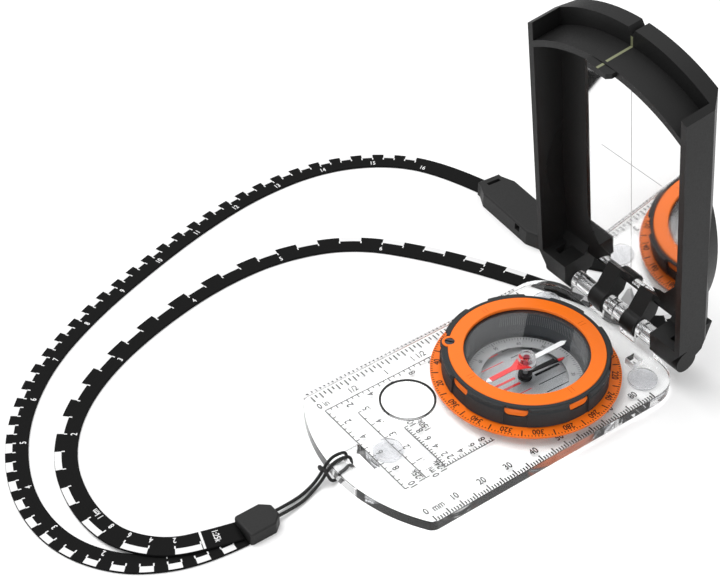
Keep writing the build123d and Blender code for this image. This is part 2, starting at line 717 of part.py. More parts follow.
def lanyard_cord():
    return strand("lanyard_cord", CORD_LOOP, Circle(CORD_D / 2), math.pi * CORD_D ** 2 / 4)


def lanyard_toggle():
    x, y = TOGGLE_AT
    half_w = TOGGLE_W / 2
    half_tip = half_w - TOGGLE_TAPER
    rear = y - TOGGLE_L / 2
    shoulder = rear + TOGGLE_STRAIGHT
    tip = rear + TOGGLE_L
    points = [
        (x - half_w, rear), (x + half_w, rear), (x + half_w, shoulder), (x + half_tip, tip),
        (x - half_tip, tip), (x - half_w, shoulder),
    ]
    body = prism_z(points, FLOOR_Z, FLOOR_Z + TOGGLE_H)
    body = fillet(body.edges().filter_by(Axis.Z), TOGGLE_EDGE_R)
    return fillet(body.edges().group_by(Axis.Z)[-1], TOGGLE_TOP_R)


def clasp_half(direction):
    """One half in the clasp's own frame, from its seam outwards along X."""
    end = CLASP_HALF_L
    half_w = CLASP_W / 2
    half_end = CLASP_END_W / 2
    wide, narrow = end - CLASP_TAPER_FROM, end - CLASP_TAPER_TO
    points = [
        (0, -half_w), (wide, -half_w), (narrow, -half_end), (end, -half_end),
        (end, half_end), (narrow, half_end), (wide, half_w), (0, half_w),
    ]
    body = prism_z([(direction * x, y) for x, y in points], FLOOR_Z, FLOOR_Z + CLASP_H)
    top = body.edges().group_by(Axis.Z)[-1]
    body = fillet(top.filter_by(lambda e: abs(e.center().X) > 0.1), CLASP_TOP_R)
    x0, x1 = sorted(direction * x for x in CLASP_SLOT)
    half = CLASP_SLOT_HALF
    return body - block(x0, x1, -half, half, FLOOR_Z + CLASP_SLOT_Z0, FLOOR_Z + CLASP_H)


def clasp_box(size):
    """A block that ends at the seam, from its length, half its width and two heights above the floor."""
    length, half, low, high = size
    return block(-length, 0, -half, half, FLOOR_Z + low, FLOOR_Z + high)


def place_clasp(body):
    return Pos(*CLASP_AT) * Rot(0, 0, CLASP_TURN) * body


def clasp_socket():
    return place_clasp(clasp_half(-1) - clasp_box(CLASP_MOUTH))


def clasp_plug():
    length, _, low, high = CLASP_TONGUE
    root, half = CLASP_TONGUE_GAP
    body = clasp_half(1) + clasp_box(CLASP_TONGUE)
    body -= block(-length, -root, -half, half, FLOOR_Z + low, FLOOR_Z + high)
    side = -CLASP_W / 2
    latch_z = [FLOOR_Z + height for height in CLASP_LATCH_Z]
    body -= block(*CLASP_LATCH_X, side, side + CLASP_LATCH_DEEP, *latch_z)
    return place_clasp(body)


def build():
    base = {"baseplate": baseplate(), "magnifier_lens": magnifier_lens(), "hinge_pin": hinge_pin()}
    for name, spot in FOOT_SPOTS.items():
        base[name] = foot(spot)
    bezel = {
        "azimuth_ring": azimuth_ring(), "bezel_retainer": bezel_retainer(), "grip_ring": grip_ring(),
        "bezel_top_ring": bezel_top_ring(), "declination_screw": declination_screw(),
        "capsule_body": capsule_body(), "capsule_lid": capsule_lid(), "clinometer_scale": clinometer_scale(),
        "orienting_arrow": orienting_arrow(), "pivot_pin": pivot_pin(), "needle_south_arm": needle_arm(1),
        "needle_north_arm": needle_arm(-1), "needle_hub": needle_hub(), "needle_magnet": needle_magnet(),
        "needle_jewel": needle_jewel(), "clinometer_pointer": clinometer_pointer(),
    }
    cover = {
        "cover_shell": cover_shell(), "mirror": mirror_glass(), "mirror_pad": mirror_pad(),
        "sighting_line": line_inlay(), "sighting_index": sighting_index(),
    }
    toggle, socket, plug = lanyard_toggle(), clasp_socket(), clasp_plug()
    lanyard = {
        "strap_inner": strap("strap_inner", STRAP_INNER) - toggle - plug,
        "strap_outer": strap("strap_outer", STRAP_OUTER) - toggle - socket,
        "lanyard_cord": lanyard_cord() - toggle, "lanyard_toggle": toggle,
        "clasp_socket": socket, "clasp_plug": plug,
    }
    lean = math.radians(COVER_LEAN)
    toward_user = (0, -math.cos(lean), -math.sin(lean))
    cover_place = Plane(origin=(0, HINGE_Y, HINGE_Z), x_dir=(1, 0, 0), z_dir=toward_user).location
    parts = dict(base)
    parts.update({name: Pos(0, BEZEL_Y, 0) * body for name, body in bezel.items()})
    parts.update({name: cover_place * body for name, body in cover.items()})
    box = Compound([face for body in parts.values() for face in body.faces()]).bounding_box()
    shift = Pos(-box.center().X, -box.center().Y, -box.min.Z)
    print("shift", shift.position, "size", box.size)
    parts.update(lanyard)
    return {name: shift * body for name, body in parts.items()}


def main():
    os.makedirs("parts", exist_ok=True)
    for name, body in build().items():
        body.label = name
        export_step(body, f"parts/{name}.step")


main()
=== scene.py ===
import bisect
import bmesh
import bpy
import json
import math
from mathutils import Matrix, Vector


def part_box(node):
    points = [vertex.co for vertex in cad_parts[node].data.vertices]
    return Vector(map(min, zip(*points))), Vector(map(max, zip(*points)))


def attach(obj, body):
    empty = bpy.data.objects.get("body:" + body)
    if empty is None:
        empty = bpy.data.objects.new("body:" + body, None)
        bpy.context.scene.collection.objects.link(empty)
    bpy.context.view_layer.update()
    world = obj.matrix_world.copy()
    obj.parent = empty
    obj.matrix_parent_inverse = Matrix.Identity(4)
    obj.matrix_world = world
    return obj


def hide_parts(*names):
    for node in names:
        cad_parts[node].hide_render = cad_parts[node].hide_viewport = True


# Looks of the mirror sighting compass. Marks, routes and offsets are written in millimetres in the
# plate's own measure: X across, Y from the zero of its rulers towards the hinge, Z up from its top.

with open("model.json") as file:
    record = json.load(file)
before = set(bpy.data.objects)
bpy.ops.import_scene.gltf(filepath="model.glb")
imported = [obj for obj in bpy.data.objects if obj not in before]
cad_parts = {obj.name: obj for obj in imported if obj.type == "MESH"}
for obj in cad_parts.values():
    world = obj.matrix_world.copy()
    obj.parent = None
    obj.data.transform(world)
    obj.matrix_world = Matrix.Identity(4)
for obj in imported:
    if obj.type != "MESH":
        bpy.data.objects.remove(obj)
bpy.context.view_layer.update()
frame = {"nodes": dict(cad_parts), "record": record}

MM = 0.001
PLATE_FRONT = -13.1
PLATE_T = 4.0
plate_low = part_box("baseplate")[0]
ZERO = Vector((0, plate_low.y - PLATE_FRONT * MM, plate_low.z + PLATE_T * MM))
FLOOR_Z = -ZERO.z / MM
JOINTS = {joint["name"]: joint for joint in frame["record"]["behaviour"]["joints"]}
BEZEL = Vector(JOINTS["bezel_turn"]["pos_m"])
HINGE = Vector(JOINTS["cover_hinge"]["pos_m"])
SCREW = Vector(JOINTS["screw_turn"]["pos_m"])
INDEX_TURN = 2.8
COVER_LEAN = math.radians(7.5)
RIM_DEPTH = 5.1
GLASS_DEPTH = 10.45


def plate_point(x, y, z=0.0):
    return ZERO + Vector((x, y, z)) * MM


def bezel_point(x, y, z=0.0):
    return Vector((BEZEL.x, BEZEL.y, ZERO.z)) + Vector((x, y, z)) * MM


def link(obj):
    bpy.context.scene.collection.objects.link(obj)
    return obj


# Camera

CAMERA_AT = Vector((289.88, -265.09, 380.68)) * MM
CAMERA_RIGHT = Vector((0.59417, 0.80434, -0.00115))
CAMERA_UP = Vector((-0.52380, 0.38802, 0.75833))
CAMERA_BACK = Vector((0.6104, -0.44998, 0.65187))
LENS_MM = 88.05
SENSOR_MM = 36.0


def make_camera():
    data = bpy.data.cameras.new("camera")
    data.lens = LENS_MM
    data.sensor_width = SENSOR_MM
    data.clip_start = 0.01
    data.clip_end = 20
    camera = link(bpy.data.objects.new("camera", data))
    turn = Matrix((CAMERA_RIGHT, CAMERA_UP, CAMERA_BACK)).transposed().to_4x4()
    camera.matrix_world = Matrix.Translation(CAMERA_AT) @ turn
    bpy.context.scene.camera = camera


make_camera()


# Materials


class Nodes:
    """A material's node tree, with short calls for the nodes that the finishes below share."""

    def __init__(self, name):
        self.material = bpy.data.materials.new(name)
        self.material.use_nodes = True
        self.tree = self.material.node_tree
        self.shader = self.tree.nodes["Principled BSDF"]
        self.output = self.tree.nodes["Material Output"]
        self.place = self.tree.nodes.new("ShaderNodeTexCoord")

    def add(self, kind, **values):
        node = self.tree.nodes.new("ShaderNode" + kind)
        for key, value in values.items():
            setattr(node, key, value)
        return node

    def join(self, source, target):
        self.tree.links.new(source, target)

    def set(self, **values):
        for name, value in values.items():
            self.shader.inputs[name.replace("_", " ")].default_value = value

    def noise(self, scale, detail=3.0):
        node = self.add("TexNoise")
        node.inputs["Scale"].default_value = scale
        node.inputs["Detail"].default_value = detail
        self.join(self.place.outputs["Object"], node.inputs["Vector"])
        return node.outputs["Fac"]

    def math(self, operation, first, second=None):
        node = self.add("Math", operation=operation)
        for socket, value in zip(node.inputs, (first, second)):
            if value is None:
                continue
            if isinstance(value, (int, float)):
                socket.default_value = value
            else:
                self.join(value, socket)
        return node.outputs[0]

    def mix(self, factor, first, second):
        node = self.add("Mix", data_type="RGBA")
        factor_socket, first_socket, second_socket = node.inputs[0], node.inputs[6], node.inputs[7]
        given = ((factor_socket, factor), (first_socket, first), (second_socket, second))
        for socket, value in given:
            if isinstance(value, (tuple, float, int)):
                socket.default_value = value
            else:
                self.join(value, socket)
        return node.outputs[2]

    def spread(self, value, low, high):
        node = self.add("MapRange")
        self.join(value, node.inputs["Value"])
        node.inputs["From Min"].default_value = 0.3
        node.inputs["From Max"].default_value = 0.7
        node.inputs["To Min"].default_value = low
        node.inputs["To Max"].default_value = high
        return node.outputs[0]

    def bump(self, height, strength, distance):
        node = self.add("Bump")
        node.inputs["Strength"].default_value = strength
        node.inputs["Distance"].default_value = distance
        self.join(height, node.inputs["Height"])
        self.join(node.outputs["Normal"], self.shader.inputs["Normal"])

    def radius(self):
        """Distance from the bezel's axis, in metres."""
        split = self.add("SeparateXYZ")
        self.join(self.place.outputs["Object"], split.inputs[0])
        x = split.outputs["X"]
        y = self.math("SUBTRACT", split.outputs["Y"], BEZEL.y)
        squares = self.math("ADD", self.math("MULTIPLY", x, x), self.math("MULTIPLY", y, y))
        return self.math("SQRT", squares)

    def axis(self, name):
        split = self.add("SeparateXYZ")
        self.join(self.place.outputs["Object"], split.inputs[0])
        return split.outputs[name]

    def let_lamps_through(self, tint):
        """Rays from lamps pass straight through, so that a clear part throws a light shadow."""
        see = self.add("BsdfTransparent")
        see.inputs["Color"].default_value = tint
        rays = self.add("LightPath")
        mixer = self.add("MixShader")
        self.join(rays.outputs["Is Shadow Ray"], mixer.inputs["Fac"])
        self.join(self.shader.outputs["BSDF"], mixer.inputs[1])
        self.join(see.outputs["BSDF"], mixer.inputs[2])
        self.join(mixer.outputs["Shader"], self.output.inputs["Surface"])


def shade(colour, factor):
    return (*[min(1.0, channel * factor) for channel in colour], 1.0)


def moulded(
    name, colour, rough=0.42, variation=0.08, grain=2600.0, depth=0.00003, strength=0.25, gloss=0.5,
):
    """Moulded plastic: slow changes of tone and gloss, and a fine spark-eroded grain."""
    nodes = Nodes(name)
    slow = nodes.noise(60.0)
    fine = nodes.noise(grain, 2.0)
    tone = nodes.mix(slow, shade(colour, 1 - variation), shade(colour, 1 + variation))
    nodes.join(tone, nodes.shader.inputs["Base Color"])
    nodes.join(nodes.spread(fine, rough - 0.05, rough + 0.07), nodes.shader.inputs["Roughness"])
    nodes.set(Specular_IOR_Level=gloss)
    nodes.bump(fine, strength, depth)
    return nodes


def clear(name, tint, rough, ior, shadow, wave=0.02):
    """Polished clear plastic, with faint swirls left by moulding."""
    nodes = Nodes(name)
    swirl = nodes.noise(140.0, 2.0)
    nodes.join(nodes.mix(swirl, shade(tint, 0.99), shade(tint, 1.01)), nodes.shader.inputs["Base Color"])
    nodes.join(nodes.spread(swirl, rough, rough + 0.01), nodes.shader.inputs["Roughness"])
    nodes.set(Transmission_Weight=1.0, IOR=ior)
    nodes.bump(swirl, wave, 0.00002)
    nodes.let_lamps_through((shadow, shadow, shadow, 1.0))
    return nodes


def metal(name, colour, rough, streak=900.0):
    """Polished metal or silvering, with a fine change of tone."""
    nodes = Nodes(name)
    brushed = nodes.noise(streak, 4.0)
    tone = nodes.mix(brushed, shade(colour, 0.92), shade(colour, 1.04))
    nodes.join(tone, nodes.shader.inputs["Base Color"])
    nodes.join(nodes.spread(brushed, rough, rough + 0.08), nodes.shader.inputs["Roughness"])
    nodes.set(Metallic=1.0)
    nodes.bump(brushed, 0.05, 0.00001)
    return nodes


def ink(name, colour, rough=0.45):
    """Pad-printed ink: slightly uneven cover."""
    nodes = Nodes(name)
    cover = nodes.noise(3000.0, 2.0)
    nodes.join(nodes.mix(cover, shade(colour, 0.8), shade(colour, 1.2)), nodes.shader.inputs["Base Color"])
    nodes.join(nodes.spread(cover, rough - 0.05, rough + 0.1), nodes.shader.inputs["Roughness"])
    nodes.set(Specular_IOR_Level=0.2)
    return nodes


def two_tone(name, near, far, value_and_limit, rough=0.35):
    """Paint that changes colour where a value passes a limit."""
    nodes = Nodes(name)
    value, limit = value_and_limit(nodes)
    past = nodes.math("GREATER_THAN", value, limit)
    grain = nodes.noise(1500.0, 2.0)
    first = nodes.mix(grain, shade(near, 0.93), shade(near, 1.07))
    second = nodes.mix(grain, shade(far, 0.93), shade(far, 1.07))
    nodes.join(nodes.mix(past, first, second), nodes.shader.inputs["Base Color"])
    nodes.join(nodes.spread(grain, rough, rough + 0.08), nodes.shader.inputs["Roughness"])
    nodes.bump(grain, 0.1, 0.00002)
    return nodes


def frosted(name, tint, clearness, rough):
    """A soft clear pad that lets most light straight through, with a milky gloss over it."""
    nodes = Nodes(name)
    cloud = nodes.noise(700.0, 3.0)
    nodes.join(nodes.mix(cloud, shade(tint, 0.9), shade(tint, 1.06)), nodes.shader.inputs["Base Color"])
    nodes.join(nodes.spread(cloud, rough, rough + 0.1), nodes.shader.inputs["Roughness"])
    nodes.bump(cloud, 0.1, 0.00003)
    see = nodes.add("BsdfTransparent")
    see.inputs["Color"].default_value = (0.93, 0.93, 0.94, 1.0)
    mixer = nodes.add("MixShader")
    mixer.inputs["Fac"].default_value = clearness
    nodes.join(nodes.shader.outputs["BSDF"], mixer.inputs[1])
    nodes.join(see.outputs["BSDF"], mixer.inputs[2])
    nodes.join(mixer.outputs["Shader"], nodes.output.inputs["Surface"])
    return nodes


CAPSULE_BORE = 18.55


def capsule_finish():
    """Clear floor, and a dark smoke wall."""
    nodes = Nodes("capsule_smoke")
    wall = nodes.math("GREATER_THAN", nodes.radius(), CAPSULE_BORE * MM)
    haze = nodes.noise(220.0, 3.0)
    floor = nodes.mix(haze, (0.70, 0.71, 0.72, 1), (0.74, 0.75, 0.76, 1))
    nodes.join(nodes.mix(wall, floor, (0.05, 0.055, 0.06, 1)), nodes.shader.inputs["Base Color"])
    nodes.join(nodes.spread(haze, 0.04, 0.08), nodes.shader.inputs["Roughness"])
    nodes.set(IOR=1.46)
    nodes.join(nodes.math("SUBTRACT", 1.0, wall), nodes.shader.inputs["Transmission Weight"])
    nodes.let_lamps_through((0.72, 0.73, 0.74, 1.0))
    return nodes


RIB_PITCH = 0.62
WARP_PITCH = 0.5


def webbing(name, dark, light, rough):
    """Flat woven tape: ribs across it and warp threads along it, from the strap's own length and width."""
    nodes = Nodes(name)
    split = nodes.add("SeparateXYZ")
    nodes.join(nodes.place.outputs["UV"], split.inputs[0])
    rib_turns, warp_turns = 2 * math.pi / (RIB_PITCH * MM), 2 * math.pi / (WARP_PITCH * MM)
    rib = nodes.math("SINE", nodes.math("MULTIPLY", split.outputs["X"], rib_turns))
    warp = nodes.math("SINE", nodes.math("MULTIPLY", split.outputs["Y"], warp_turns))
    weave = nodes.math("MULTIPLY", rib, warp)
    thread = nodes.math("MULTIPLY_ADD", weave, 0.5)
    thread.node.inputs[2].default_value = 0.5
    fuzz = nodes.noise(5000.0, 3.0)
    tone = nodes.mix(thread, (*dark, 1), (*light, 1))
    worn = nodes.mix(nodes.math("MULTIPLY", fuzz, 0.3), tone, (*dark, 1))
    nodes.join(worn, nodes.shader.inputs["Base Color"])
    nodes.join(nodes.spread(fuzz, rough, rough + 0.15), nodes.shader.inputs["Roughness"])
    nodes.set(Sheen_Roughness=0.5, Specular_IOR_Level=0.06)
    nodes.bump(thread, 0.35, 0.00008)
    return nodes


def braid():
    """Thin braided cord: two sets of strands that cross."""
    nodes = Nodes("braided_cord")
    waves = []
    for tilt in (0.7, -0.7):
        turned = nodes.add("Mapping")
        turned.inputs["Rotation"].default_value = (tilt, tilt, tilt)
        nodes.join(nodes.place.outputs["Object"], turned.inputs["Vector"])
        wave = nodes.add("TexWave")
        wave.inputs["Scale"].default_value = 600.0
        nodes.join(turned.outputs["Vector"], wave.inputs["Vector"])
        waves.append(wave.outputs["Fac"])
    strands = nodes.math("MAXIMUM", *waves)
    tone = nodes.mix(strands, (0.006, 0.006, 0.006, 1), (0.03, 0.03, 0.03, 1))
    nodes.join(tone, nodes.shader.inputs["Base Color"])
    nodes.join(nodes.spread(strands, 0.5, 0.7), nodes.shader.inputs["Roughness"])
    nodes.set(Specular_IOR_Level=0.15)
    nodes.bump(strands, 0.5, 0.0001)
    return nodes


# Where painted parts change colour: a measure across the part, and its limit.

NORTH_TIP = 14.2
POINTER_TIP = 12.2
PIVOT_STEM_R = 1.5
DISC_SPLIT = 0.4


def toward_front(nodes):
    return nodes.math("SUBTRACT", BEZEL.y, nodes.axis("Y"))


def north_tip(nodes):
    return toward_front(nodes), NORTH_TIP * MM


def pointer_tip(nodes):
    return nodes.radius(), POINTER_TIP * MM


def pivot_rim(nodes):
    return nodes.radius(), PIVOT_STEM_R * MM


def north_half(nodes):
    return toward_front(nodes), DISC_SPLIT * MM


def far_half(nodes):
    return nodes.math("SUBTRACT", nodes.axis("Y"), BEZEL.y), 0.0


ORANGE = (0.90, 0.175, 0.010)
RUBBER = (0.029, 0.032, 0.034)
BLACK = (0.011, 0.011, 0.011)
RED = (0.72, 0.022, 0.022)
INK_BLACK = (0.012, 0.012, 0.012)
WHITE = (0.82, 0.83, 0.83)

FINISH = {
    "acrylic": clear("acrylic", (0.985, 0.99, 0.99), 0.0, 1.49, 0.93),
    "lens": clear("lens_acrylic", (0.99, 0.99, 0.99), 0.0, 1.49, 0.95, 0.0),
    "silicone": frosted("silicone", (0.60, 0.61, 0.62), 0.80, 0.08),
    "lid": clear("lid", (0.97, 0.975, 0.98), 0.0, 1.46, 0.94, 0.0),
    "hub": clear("hub_cap", (0.97, 0.97, 0.97), 0.0, 1.5, 0.9, 0.0),
    "capsule": capsule_finish(),
    "orange": moulded("orange_plastic", ORANGE, 0.36, 0.05, 2400.0, 0.00002, 0.15, 0.35),
    "rubber": moulded("charcoal_rubber", RUBBER, 0.58, 0.12, 1800.0, 0.00004, 0.35, 0.25),
    "cover": moulded("black_plastic", BLACK, 0.42, 0.15, 2200.0, 0.00004, 0.3, 0.2),
    "grey": moulded("grey_plastic", (0.019, 0.019, 0.019), 0.5, 0.12, 1600.0, 0.00004, 0.4, 0.2),
    "scale": moulded("frosted_scale", (0.34, 0.345, 0.35), 0.5, 0.04),
    "foam": moulded("foam_tape", (0.03, 0.03, 0.03), 0.85, 0.3, 1200.0, 0.0002, 0.6),
    "olive": moulded("luminous_inlay", (0.17, 0.18, 0.10), 0.5, 0.1),
    "white": moulded("white_paint", WHITE, 0.38, 0.03),
    "pin": metal("polished_steel", (0.78, 0.78, 0.79), 0.12),
    "dark_steel": metal("dark_steel", (0.10, 0.10, 0.11), 0.25),
    "mirror": metal("silvering", (0.88, 0.88, 0.88), 0.0, 40.0),
    "jewel": moulded("jewel", (0.65, 0.15, 0.2), 0.1, 0.05),
    "red": moulded("red_paint", RED, 0.34, 0.06),
    "north": two_tone("north_arm", RED, WHITE, north_tip),
    "pointer": two_tone("clinometer_pointer", INK_BLACK, RED, pointer_tip),
    "arrow": two_tone("orienting_arrow", RED, INK_BLACK, far_half),
    "pivot": two_tone("pivot", (0.42, 0.43, 0.44), INK_BLACK, pivot_rim, 0.15),
    "disc": two_tone("needle_disc", (0.50, 0.51, 0.52), RED, north_half, 0.25),
    "black_ink": ink("black_ink", INK_BLACK),
    "faint_ink": ink("faint_ink", (0.05, 0.05, 0.052)),
    # Painted reflection: grey ink for the clinometer ticks reflected in the capsule's wall.
    "reflection_grey": ink("reflection_grey", (0.20, 0.205, 0.21)),
    "red_ink": ink("red_ink", (0.62, 0.03, 0.03)),
    # Painted shade: darker orange for the shade inside the top ring's engraved grooves.
    "groove_shade_orange": ink("groove_shade_orange", (0.60, 0.10, 0.012)),
    "mirror_line": ink("mirror_line", (0.50, 0.50, 0.50)),
    "strap": webbing("black_webbing", (0.003, 0.003, 0.003), (0.011, 0.011, 0.011), 0.55),
    "strap_ink": webbing("strap_print", (0.66, 0.66, 0.66), (0.84, 0.84, 0.84), 0.5),
    "cord": braid(),
}

NODE_FINISH = {
    "baseplate": "acrylic", "magnifier_lens": "lens", "hinge_pin": "pin", "foot_front": "silicone",
    "foot_rear_left": "silicone", "foot_rear_right": "silicone", "azimuth_ring": "orange",
    "bezel_retainer": "cover", "grip_ring": "rubber", "bezel_top_ring": "orange",
    "declination_screw": "dark_steel", "capsule_body": "capsule", "capsule_lid": "lid",
    "clinometer_scale": "scale", "orienting_arrow": "arrow", "pivot_pin": "pivot",
    "needle_south_arm": "white", "needle_north_arm": "north", "needle_hub": "hub",
    "needle_magnet": "pin", "needle_jewel": "jewel", "clinometer_pointer": "pointer",
    "cover_shell": "cover", "mirror": "mirror", "mirror_pad": "foam", "sighting_line": "olive",
    "sighting_index": "white", "lanyard_toggle": "grey", "clasp_socket": "grey", "clasp_plug": "grey",
}


def dress_nodes():
    for node, finish in NODE_FINISH.items():
        for spot in frame["nodes"][node].material_slots:
            spot.material = FINISH[finish].material


dress_nodes()


# Lanyard. The routes are the strands' middle lines.

STRAP_W = 7.0
STRAP_T = 0.9
CORD_D = 1.0
FLAT_Z = FLOOR_Z + STRAP_T / 2
OVER_GAP = 0.15
OVER_Z = FLAT_Z + STRAP_T + OVER_GAP
TOGGLE_Y = -46.6
STRAP_INNER = [
    (-0.6, TOGGLE_Y, OVER_Z), (-3.2, -56.0, OVER_Z), (-6.6, -65.5, OVER_Z), (-13.5, -73.0, OVER_Z),
    (-23.0, -77.6, OVER_Z - 0.5), (-38.0, -78.2, FLAT_Z), (-55.5, -73.6, FLAT_Z), (-71.5, -61.5, FLAT_Z),
    (-84.0, -42.5, FLAT_Z), (-93.0, -17.0, FLAT_Z), (-97.9, 9.0, FLAT_Z), (-97.0, 34.0, FLAT_Z),
    (-87.6, 57.5, FLAT_Z), (-66.0, 75.0, FLAT_Z), (-41.5, 89.0, FLAT_Z), (-20.0, 98.5, FLAT_Z),
    (-3.0, 105.0, FLAT_Z), (9.0, 115.0, FLAT_Z), (4.0, 128.0, FLAT_Z), (-12.0, 129.5, FLAT_Z),
    (-25.0, 119.5, FLAT_Z), (-36.0, 111.3, FLAT_Z), (-45.05, 110.27, FLAT_Z),
]
STRAP_OUTER = [
    (0.9, TOGGLE_Y, FLAT_Z), (0.2, -57.0, FLAT_Z), (-3.4, -69.0, FLAT_Z), (-11.0, -80.5, FLAT_Z),
    (-25.0, -89.2, FLAT_Z), (-42.0, -91.2, FLAT_Z), (-60.0, -87.0, FLAT_Z), (-79.0, -76.0, FLAT_Z),
    (-96.0, -58.0, FLAT_Z), (-108.5, -34.5, FLAT_Z), (-118.0, -8.5, FLAT_Z), (-125.8, 17.5, FLAT_Z),
    (-130.9, 45.0, FLAT_Z), (-129.8, 72.0, FLAT_Z), (-120.0, 93.5, FLAT_Z), (-103.0, 107.5, FLAT_Z),
    (-82.95, 112.93, FLAT_Z),
]
# A cow hitch: two strands come over the front bar of the plate and go down through its slot, and
# the fold that joins them comes back under the bar and lies across them in front of it.
CORD_LOOP = [
    (-0.9, -35.2, -3.5), (-1.5, -27.0, -4.5), (-3.0, -20.5, -4.4), (-4.0, -16.8, -3.2),
    (-4.6, -14.0, -0.6), (-4.8, -11.6, 1.1), (-4.8, -9.0, 1.1), (-4.8, -6.6, 0.4), (-4.9, -5.9, -2.6),
    (-5.2, -8.0, -4.65), (-5.8, -12.4, -4.65), (-6.4, -14.8, -3.4), (-5.6, -15.6, -0.6),
    (-3.6, -15.9, 0.3), (-1.4, -15.6, -0.6), (-0.6, -14.8, -3.4), (-1.2, -12.4, -4.65),
    (-1.8, -8.0, -4.65), (-2.2, -5.9, -2.6), (-2.6, -6.6, 0.4), (-2.8, -9.0, 1.1), (-2.9, -11.6, 1.1),
    (-2.9, -14.0, -0.6), (-2.4, -16.8, -3.2), (-1.4, -20.5, -4.4), (0.7, -27.0, -4.5), (1.3, -35.2, -3.5),
]


def route_curve(name, route):
    """A smooth open line with the route's points as its control points."""
    curve = bpy.data.curves.new(name, "CURVE")
    curve.dimensions = "3D"
    spline = curve.splines.new("NURBS")
    spline.points.add(len(route) - 1)
    for point, place in zip(spline.points, route):
        point.co = (*plate_point(*place), 1.0)
    spline.order_u = 3
    spline.use_endpoint_u = True
    spline.resolution_u = 14
    return curve


def route_line(name, route):
    """Points along the smooth line of a route."""
    holder = bpy.data.objects.new(name, route_curve(name, route))
    mesh = bpy.data.meshes.new_from_object(holder)
    points = [vertex.co.copy() for vertex in mesh.vertices]
    bpy.data.objects.remove(holder)
    return points


class Tape:
    """A line that a flat tape lies on: place(s, t, h) is s along, t to the left and h above, in mm."""

    def __init__(self, points):
        self.points = points
        self.along = [0.0]
        for before, here in zip(points, points[1:]):
            self.along.append(self.along[-1] + (here - before).length / MM)
        self.length = self.along[-1]

    def heading(self, index):
        before = self.points[max(index - 1, 0)]
        after = self.points[min(index + 1, len(self.points) - 1)]
        return (after - before).normalized()

    def axes(self, index):
        ahead = self.heading(index)
        left = Vector((0, 0, 1)).cross(ahead).normalized()
        return left, ahead.cross(left)

    def place(self, s, t, h):
        last = len(self.points) - 2
        index = min(max(bisect.bisect_right(self.along, s) - 1, 0), last)
        share = (s - self.along[index]) / (self.along[index + 1] - self.along[index])
        spot = self.points[index].lerp(self.points[index + 1], share)
        left, up = self.axes(index)
        left_after, up_after = self.axes(index + 1)
        return spot + left.lerp(left_after, share) * t * MM + up.lerp(up_after, share) * h * MM


def mesh_object(name, points, faces, finish, body, smooth=False):
    """A new piece that rides on a body."""
    mesh = bpy.data.meshes.new(name)
    mesh.from_pydata([tuple(point) for point in points], [], faces)
    mesh.validate()
    if smooth:
        mesh.shade_smooth()
    mesh.materials.append(FINISH[finish].material)
    piece = link(bpy.data.objects.new(name, mesh))
    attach(piece, body)
    return piece


SELVEDGE = 0.25
SELVEDGE_SHOULDER = 0.07
MARGIN = 0.6
MARGIN_DIP = 0.97
MIDDLE = 1.6
STRAP_STEP = 1.5


def strap_section():
    """The tape's outline, with rounded selvedges, as (across, height) points."""
    half, high = STRAP_W / 2, STRAP_T / 2
    edge = [
        (half - SELVEDGE, high), (half - SELVEDGE_SHOULDER, high * 0.75), (half, 0.0),
        (half - SELVEDGE_SHOULDER, -high * 0.75), (half - SELVEDGE, -high),
    ]
    top = [
        (MARGIN - half, high * MARGIN_DIP), (-MIDDLE, high), (0.0, high), (MIDDLE, high),
        (half - MARGIN, high * MARGIN_DIP),
    ]
    bottom = [(across, -height) for across, height in reversed(top)]
    return top + edge + bottom + [(-across, -height) for across, height in edge]


def make_strap(name, tape, ends):
    """Flat tape along a line, with its length and width kept as UVs for the weave."""
    section = strap_section()
    steps = round(tape.length / STRAP_STEP)
    points, faces, uvs = [], [], []
    for step in range(steps + 1):
        s = tape.length * step / steps
        for across, height in section:
            points.append(tape.place(s, across, height))
            uvs.append((s * MM, across * MM))
    count = len(section)
    for step in range(steps):
        for k in range(count):
            a, b = step * count + k, step * count + (k + 1) % count
            faces.append((a, a + count, b + count, b))
    faces.append(tuple(range(count)))
    faces.append(tuple(reversed(range(steps * count, (steps + 1) * count))))
    piece = mesh_object(name, points, faces, "strap", "base", smooth=True)
    layer = piece.data.uv_layers.new(name="tape")
    for loop in piece.data.loops:
        layer.data[loop.index].uv = uvs[loop.vertex_index]
    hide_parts(*ends)
    return piece


# Printed marks

GLYPHS = {}
TEXT_WEIGHT = 0.018
FIGURE_HEIGHT = 0.73
SAME_POINT = 1e-4
INK_GAP = 0.03
INK_T = 0.03
THIN_INK_T = 0.02


def embolden(mesh, weight):
    """Move the outline of a flat mesh outwards, holes included."""
    work = bmesh.new()
    work.from_mesh(mesh)
    bmesh.ops.remove_doubles(work, verts=work.verts, dist=SAME_POINT)
    pushes = {}
    for edge in work.edges:
        if len(edge.link_faces) != 1:
            continue
        first, second = edge.verts
        along = second.co - first.co
        out = Vector((along.y, -along.x, 0)).normalized()
        if out.dot(first.co - edge.link_faces[0].calc_center_median()) < 0:
            out.negate()
        for corner in (first, second):
            pushes[corner] = pushes.get(corner, Vector()) + out
    for corner, push in pushes.items():
        corner.co += push.normalized() * weight
    work.to_mesh(mesh)
    work.free()


def glyphs(text):
    """The corners and faces of a text, with its figures 1 high, centred on zero."""
    if text not in GLYPHS:
        curve = bpy.data.curves.new("glyphs", "FONT")
        curve.body = text
        curve.resolution_u = 3
        holder = bpy.data.objects.new("glyphs", curve)
        mesh = bpy.data.meshes.new_from_object(holder)
        embolden(mesh, TEXT_WEIGHT)
        corners = [(vertex.co.x, vertex.co.y) for vertex in mesh.vertices]
        faces = [tuple(face.vertices) for face in mesh.polygons]
        left, right = min(x for x, _ in corners), max(x for x, _ in corners)
        middle = (left + right) / 2
        corners = [((x - middle) / FIGURE_HEIGHT, y / FIGURE_HEIGHT - 0.5) for x, y in corners]
        GLYPHS[text] = corners, faces
        bpy.data.objects.remove(holder)
    return GLYPHS[text]


